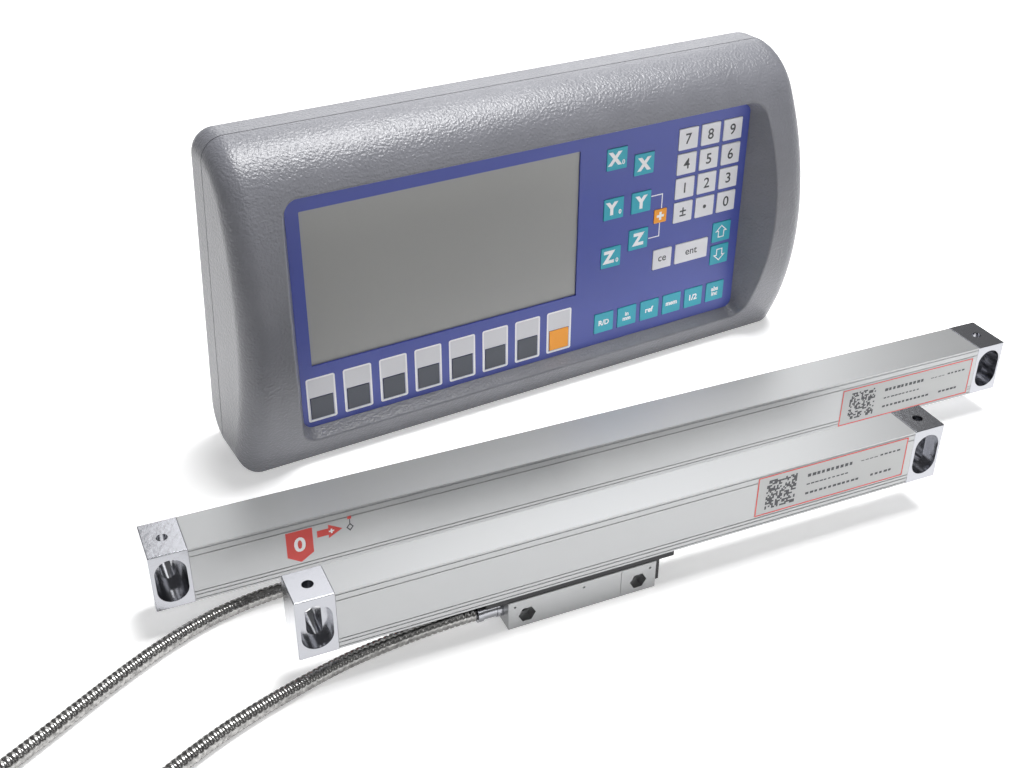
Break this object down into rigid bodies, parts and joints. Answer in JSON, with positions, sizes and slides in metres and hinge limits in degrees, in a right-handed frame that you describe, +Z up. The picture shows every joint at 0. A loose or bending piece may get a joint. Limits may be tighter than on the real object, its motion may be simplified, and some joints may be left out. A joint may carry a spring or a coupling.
{
  "type": "digital readout kit",
  "caption": "Machine-tool digital readout: a console with screen and keypad, and linear scales with sliding reader heads on armoured cables.",
  "frame": {"origin": "middle of the kit's box on the surface it stands on, measured without the cables", "axes": "+X along both scales towards their right ends, +Y from the short scale back to the console, +Z up"},
  "size_m": [0.6335, 0.4208, 0.172],
  "materials": {
    "case": "grey orange-peel powder coat on cast aluminium",
    "keypad_blue": "fine-grained printed polyester face",
    "screen": "unlit grey display behind an anti-glare sheet",
    "board": "green solder mask",
    "key_teal": "satin moulded cap",
    "key_white": "satin moulded cap",
    "key_slate": "satin moulded cap",
    "key_orange": "satin moulded cap",
    "socket_metal": "plated steel shells",
    "screw_steel": "zinc plate",
    "anodised": "satin clear anodised",
    "end_block_metal": "bright plated casting",
    "grating_glass": "clear glass with a fine grating",
    "seal_rubber": "black lip",
    "carriage_black": "black painted",
    "gland_chrome": "polished",
    "armour_steel": "interlocked stainless hose",
    "plug_black": "black moulding"
  },
  "bodies": {
    "kit": {"cable_plugs": "plug_black", "circuit_board": "board", "end_blocks": "end_block_metal", "front_bezel": "case", "glass_strips": "grating_glass", "keypad_panel": "keypad_blue", "lip_seals": "seal_rubber", "long_cable": "armour_steel", "long_cable_coil": "armour_steel", "long_scale_housing": "anodised", "rear_shell": "case", "rear_sockets": "socket_metal", "screen_module": "screen", "shell_screws": "screw_steel", "short_cable": "armour_steel", "short_cable_coil": "armour_steel", "short_scale_housing": "anodised"},
    "long_reader": {"long_reader_head": "anodised", "long_reader_carriage": "carriage_black", "long_cable_gland": "gland_chrome"},
    "short_reader": {"short_reader_head": "anodised", "short_reader_carriage": "carriage_black", "short_cable_gland": "gland_chrome"},
    "key_0_cap": {"key_0": "key_white"},
    "key_1_cap": {"key_1": "key_white"},
    "key_2_cap": {"key_2": "key_white"},
    "key_3_cap": {"key_3": "key_white"},
    "key_4_cap": {"key_4": "key_white"},
    "key_5_cap": {"key_5": "key_white"},
    "key_6_cap": {"key_6": "key_white"},
    "key_7_cap": {"key_7": "key_white"},
    "key_8_cap": {"key_8": "key_white"},
    "key_9_cap": {"key_9": "key_white"},
    "key_absolute_cap": {"key_absolute": "key_teal"},
    "key_add_cap": {"key_add": "key_orange"},
    "key_clear_cap": {"key_clear": "key_white"},
    "key_down_cap": {"key_down": "key_teal"},
    "key_enter_cap": {"key_enter": "key_white"},
    "key_half_cap": {"key_half": "key_teal"},
    "key_inch_mm_cap": {"key_inch_mm": "key_teal"},
    "key_memory_cap": {"key_memory": "key_teal"},
    "key_point_cap": {"key_point": "key_white"},
    "key_radius_cap": {"key_radius": "key_teal"},
    "key_reference_cap": {"key_reference": "key_teal"},
    "key_sign_cap": {"key_sign": "key_white"},
    "key_up_cap": {"key_up": "key_teal"},
    "key_x_cap": {"key_x": "key_teal"},
    "key_x_zero_cap": {"key_x_zero": "key_teal"},
    "key_y_cap": {"key_y": "key_teal"},
    "key_y_zero_cap": {"key_y_zero": "key_teal"},
    "key_z_cap": {"key_z": "key_teal"},
    "key_z_zero_cap": {"key_z_zero": "key_teal"},
    "soft_key_1_cap": {"soft_key_1": "key_slate"},
    "soft_key_2_cap": {"soft_key_2": "key_slate"},
    "soft_key_3_cap": {"soft_key_3": "key_slate"},
    "soft_key_4_cap": {"soft_key_4": "key_slate"},
    "soft_key_5_cap": {"soft_key_5": "key_slate"},
    "soft_key_6_cap": {"soft_key_6": "key_slate"},
    "soft_key_7_cap": {"soft_key_7": "key_slate"},
    "soft_key_8_cap": {"soft_key_8": "key_orange"}
  },
  "joints": [
    {"name": "long_reader_slide", "type": "slide", "parent": "kit", "child": "long_reader", "axis": [1, 0, 0], "range_m": [-0.175, 0.175], "deforming": ["long_cable"]},
    {"name": "short_reader_slide", "type": "slide", "parent": "kit", "child": "short_reader", "axis": [1, 0, 0], "range_m": [-0.0689, 0.1311], "deforming": ["short_cable"]},
    {"name": "key_0_press", "type": "slide", "parent": "kit", "child": "key_0_cap", "axis": [-0.1045, 0.9945, 0], "range_m": [0, 0.0005], "stiffness_N_per_m": 200},
    {"name": "key_1_press", "type": "slide", "parent": "kit", "child": "key_1_cap", "axis": [-0.1045, 0.9945, 0], "range_m": [0, 0.0005], "stiffness_N_per_m": 200},
    {"name": "key_2_press", "type": "slide", "parent": "kit", "child": "key_2_cap", "axis": [-0.1045, 0.9945, 0], "range_m": [0, 0.0005], "stiffness_N_per_m": 200},
    {"name": "key_3_press", "type": "slide", "parent": "kit", "child": "key_3_cap", "axis": [-0.1045, 0.9945, 0], "range_m": [0, 0.0005], "stiffness_N_per_m": 200},
    {"name": "key_4_press", "type": "slide", "parent": "kit", "child": "key_4_cap", "axis": [-0.1045, 0.9945, 0], "range_m": [0, 0.0005], "stiffness_N_per_m": 200},
    {"name": "key_5_press", "type": "slide", "parent": "kit", "child": "key_5_cap", "axis": [-0.1045, 0.9945, 0], "range_m": [0, 0.0005], "stiffness_N_per_m": 200},
    {"name": "key_6_press", "type": "slide", "parent": "kit", "child": "key_6_cap", "axis": [-0.1045, 0.9945, 0], "range_m": [0, 0.0005], "stiffness_N_per_m": 200},
    {"name": "key_7_press", "type": "slide", "parent": "kit", "child": "key_7_cap", "axis": [-0.1045, 0.9945, 0], "range_m": [0, 0.0005], "stiffness_N_per_m": 200},
    {"name": "key_8_press", "type": "slide", "parent": "kit", "child": "key_8_cap", "axis": [-0.1045, 0.9945, 0], "range_m": [0, 0.0005], "stiffness_N_per_m": 200},
    {"name": "key_9_press", "type": "slide", "parent": "kit", "child": "key_9_cap", "axis": [-0.1045, 0.9945, 0], "range_m": [0, 0.0005], "stiffness_N_per_m": 200},
    {"name": "key_absolute_press", "type": "slide", "parent": "kit", "child": "key_absolute_cap", "axis": [-0.1045, 0.9945, 0], "range_m": [0, 0.0005], "stiffness_N_per_m": 200},
    {"name": "key_add_press", "type": "slide", "parent": "kit", "child": "key_add_cap", "axis": [-0.1045, 0.9945, 0], "range_m": [0, 0.0005], "stiffness_N_per_m": 200},
    {"name": "key_clear_press", "type": "slide", "parent": "kit", "child": "key_clear_cap", "axis": [-0.1045, 0.9945, 0], "range_m": [0, 0.0005], "stiffness_N_per_m": 200},
    {"name": "key_down_press", "type": "slide", "parent": "kit", "child": "key_down_cap", "axis": [-0.1045, 0.9945, 0], "range_m": [0, 0.0005], "stiffness_N_per_m": 200},
    {"name": "key_enter_press", "type": "slide", "parent": "kit", "child": "key_enter_cap", "axis": [-0.1045, 0.9945, 0], "range_m": [0, 0.0005], "stiffness_N_per_m": 200},
    {"name": "key_half_press", "type": "slide", "parent": "kit", "child": "key_half_cap", "axis": [-0.1045, 0.9945, 0], "range_m": [0, 0.0005], "stiffness_N_per_m": 200},
    {"name": "key_inch_mm_press", "type": "slide", "parent": "kit", "child": "key_inch_mm_cap", "axis": [-0.1045, 0.9945, 0], "range_m": [0, 0.0005], "stiffness_N_per_m": 200},
    {"name": "key_memory_press", "type": "slide", "parent": "kit", "child": "key_memory_cap", "axis": [-0.1045, 0.9945, 0], "range_m": [0, 0.0005], "stiffness_N_per_m": 200},
    {"name": "key_point_press", "type": "slide", "parent": "kit", "child": "key_point_cap", "axis": [-0.1045, 0.9945, 0], "range_m": [0, 0.0005], "stiffness_N_per_m": 200},
    {"name": "key_radius_press", "type": "slide", "parent": "kit", "child": "key_radius_cap", "axis": [-0.1045, 0.9945, 0], "range_m": [0, 0.0005], "stiffness_N_per_m": 200},
    {"name": "key_reference_press", "type": "slide", "parent": "kit", "child": "key_reference_cap", "axis": [-0.1045, 0.9945, 0], "range_m": [0, 0.0005], "stiffness_N_per_m": 200},
    {"name": "key_sign_press", "type": "slide", "parent": "kit", "child": "key_sign_cap", "axis": [-0.1045, 0.9945, 0], "range_m": [0, 0.0005], "stiffness_N_per_m": 200},
    {"name": "key_up_press", "type": "slide", "parent": "kit", "child": "key_up_cap", "axis": [-0.1045, 0.9945, 0], "range_m": [0, 0.0005], "stiffness_N_per_m": 200},
    {"name": "key_x_press", "type": "slide", "parent": "kit", "child": "key_x_cap", "axis": [-0.1045, 0.9945, 0], "range_m": [0, 0.0005], "stiffness_N_per_m": 200},
    {"name": "key_x_zero_press", "type": "slide", "parent": "kit", "child": "key_x_zero_cap", "axis": [-0.1045, 0.9945, 0], "range_m": [0, 0.0005], "stiffness_N_per_m": 200},
    {"name": "key_y_press", "type": "slide", "parent": "kit", "child": "key_y_cap", "axis": [-0.1045, 0.9945, 0], "range_m": [0, 0.0005], "stiffness_N_per_m": 200},
    {"name": "key_y_zero_press", "type": "slide", "parent": "kit", "child": "key_y_zero_cap", "axis": [-0.1045, 0.9945, 0], "range_m": [0, 0.0005], "stiffness_N_per_m": 200},
    {"name": "key_z_press", "type": "slide", "parent": "kit", "child": "key_z_cap", "axis": [-0.1045, 0.9945, 0], "range_m": [0, 0.0005], "stiffness_N_per_m": 200},
    {"name": "key_z_zero_press", "type": "slide", "parent": "kit", "child": "key_z_zero_cap", "axis": [-0.1045, 0.9945, 0], "range_m": [0, 0.0005], "stiffness_N_per_m": 200},
    {"name": "soft_key_1_press", "type": "slide", "parent": "kit", "child": "soft_key_1_cap", "axis": [-0.1045, 0.9945, 0], "range_m": [0, 0.0005], "stiffness_N_per_m": 200},
    {"name": "soft_key_2_press", "type": "slide", "parent": "kit", "child": "soft_key_2_cap", "axis": [-0.1045, 0.9945, 0], "range_m": [0, 0.0005], "stiffness_N_per_m": 200},
    {"name": "soft_key_3_press", "type": "slide", "parent": "kit", "child": "soft_key_3_cap", "axis": [-0.1045, 0.9945, 0], "range_m": [0, 0.0005], "stiffness_N_per_m": 200},
    {"name": "soft_key_4_press", "type": "slide", "parent": "kit", "child": "soft_key_4_cap", "axis": [-0.1045, 0.9945, 0], "range_m": [0, 0.0005], "stiffness_N_per_m": 200},
    {"name": "soft_key_5_press", "type": "slide", "parent": "kit", "child": "soft_key_5_cap", "axis": [-0.1045, 0.9945, 0], "range_m": [0, 0.0005], "stiffness_N_per_m": 200},
    {"name": "soft_key_6_press", "type": "slide", "parent": "kit", "child": "soft_key_6_cap", "axis": [-0.1045, 0.9945, 0], "range_m": [0, 0.0005], "stiffness_N_per_m": 200},
    {"name": "soft_key_7_press", "type": "slide", "parent": "kit", "child": "soft_key_7_cap", "axis": [-0.1045, 0.9945, 0], "range_m": [0, 0.0005], "stiffness_N_per_m": 200},
    {"name": "soft_key_8_press", "type": "slide", "parent": "kit", "child": "soft_key_8_cap", "axis": [-0.1045, 0.9945, 0], "range_m": [0, 0.0005], "stiffness_N_per_m": 200}
  ]
}
